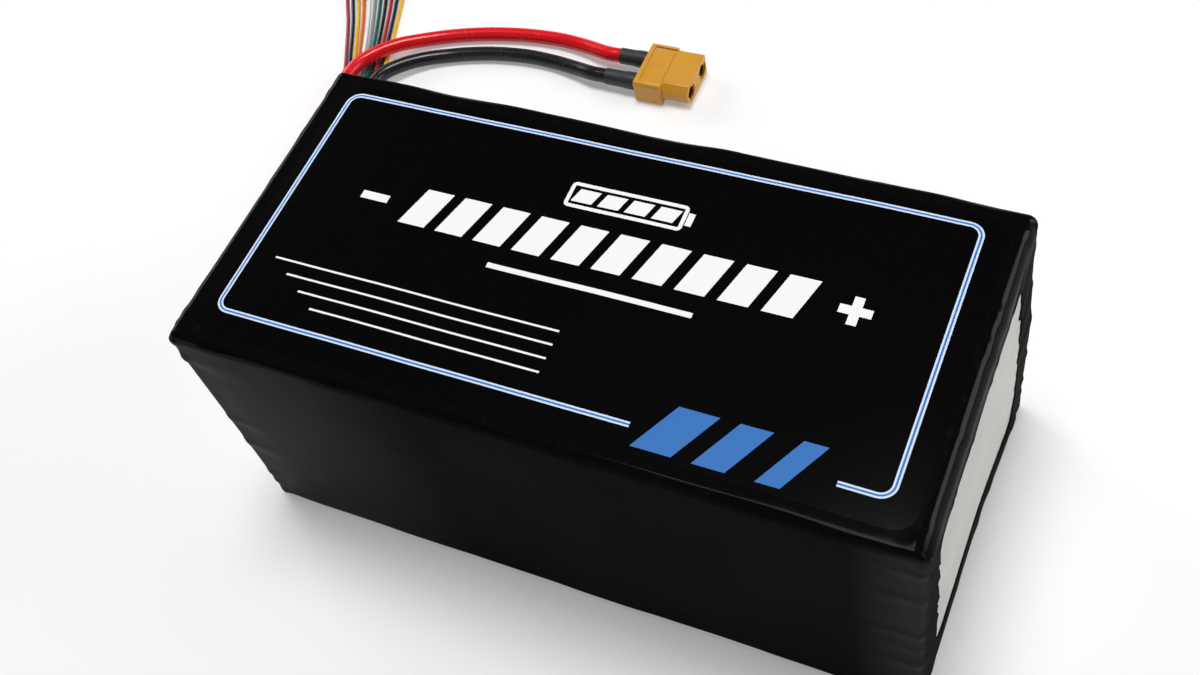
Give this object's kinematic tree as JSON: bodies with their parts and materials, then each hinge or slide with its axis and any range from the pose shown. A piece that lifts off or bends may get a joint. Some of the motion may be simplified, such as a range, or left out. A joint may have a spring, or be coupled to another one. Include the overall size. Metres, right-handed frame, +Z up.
{
  "type": "lipo battery pack",
  "caption": "Boxy lithium polymer battery pack in a black shrink sleeve with folded end lips, thick power leads with a keyed connector, and a row of thin balance wires to a plug.",
  "frame": {"origin": "middle of the pack's base, on the surface that it stands on, leads left out", "axes": "+X along the pack away from the lead end, +Y to its back, +Z up"},
  "size_m": [0.3057, 0.2349, 0.0911],
  "materials": {
    "wrap_film": "glossy black shrink film",
    "label_film": "printed black film",
    "end_board": "matt pale grey board",
    "sealant": "black silicone sealant",
    "foam": "dark closed-cell foam",
    "circuit_board": "solder-masked glass fibre board",
    "copper": "bare copper",
    "solder": "bright solder",
    "electrodes": "coated foils",
    "pouch_foil": "satin laminate foil",
    "tab_aluminium": "satin",
    "tab_nickel": "nickel plated",
    "seal_film": "translucent polymer film",
    "foam_tape": "white foam tape",
    "binding_tape": "amber polyimide tape",
    "lead_red": "red silicone rubber",
    "lead_black": "black silicone rubber",
    "cup_sleeve": "black heat-shrink tube",
    "connector_amber": "amber nylon",
    "socket_gold": "gold plated",
    "connector_white": "white nylon",
    "contact_tin": "tin plated",
    "wire_dusty_red": "silicone rubber",
    "wire_navy": "silicone rubber",
    "wire_yellow": "silicone rubber",
    "wire_orange": "silicone rubber",
    "wire_white": "silicone rubber",
    "wire_grey": "silicone rubber",
    "wire_green": "silicone rubber",
    "wire_black": "silicone rubber",
    "wire_red": "silicone rubber"
  },
  "bodies": {
    "root": {"shrink_wrap": "wrap_film", "top_label": "label_film", "far_end_board": "end_board", "tab_end_board": "end_board", "lead_exit_seal": "sealant", "bay_foam": "foam", "series_board": "circuit_board", "series_links": "copper", "positive_bus": "copper", "negative_bus": "copper", "tab_solder": "solder", "lead_solder": "solder", "balance_solder": "solder", "electrode_stacks": "electrodes", "positive_tabs": "tab_aluminium", "negative_tabs": "tab_nickel", "tab_seal_films": "seal_film", "cell_pads": "foam_tape", "binding_tapes": "binding_tape", "lead_conductors": "copper", "balance_conductors": "copper", "positive_lead": "lead_red", "negative_lead": "lead_black", "cup_conductors": "copper", "cup_solder": "solder", "positive_cup_sleeve": "cup_sleeve", "negative_cup_sleeve": "cup_sleeve", "power_connector_housing": "connector_amber", "positive_socket": "socket_gold", "negative_socket": "socket_gold", "crimp_conductors": "copper", "balance_connector_housing": "connector_white", "balance_contacts": "contact_tin", "cell_01": "pouch_foil", "cell_02": "pouch_foil", "cell_03": "pouch_foil", "cell_04": "pouch_foil", "cell_05": "pouch_foil", "cell_06": "pouch_foil", "cell_07": "pouch_foil", "cell_08": "pouch_foil", "cell_09": "pouch_foil", "cell_10": "pouch_foil", "balance_wire_01": "wire_dusty_red", "balance_wire_02": "wire_navy", "balance_wire_03": "wire_yellow", "balance_wire_04": "wire_orange", "balance_wire_05": "wire_white", "balance_wire_06": "wire_grey", "balance_wire_07": "wire_green", "balance_wire_08": "wire_black", "balance_wire_09": "wire_red", "balance_wire_10": "wire_navy", "balance_wire_11": "wire_yellow"}
  },
  "joints": []
}
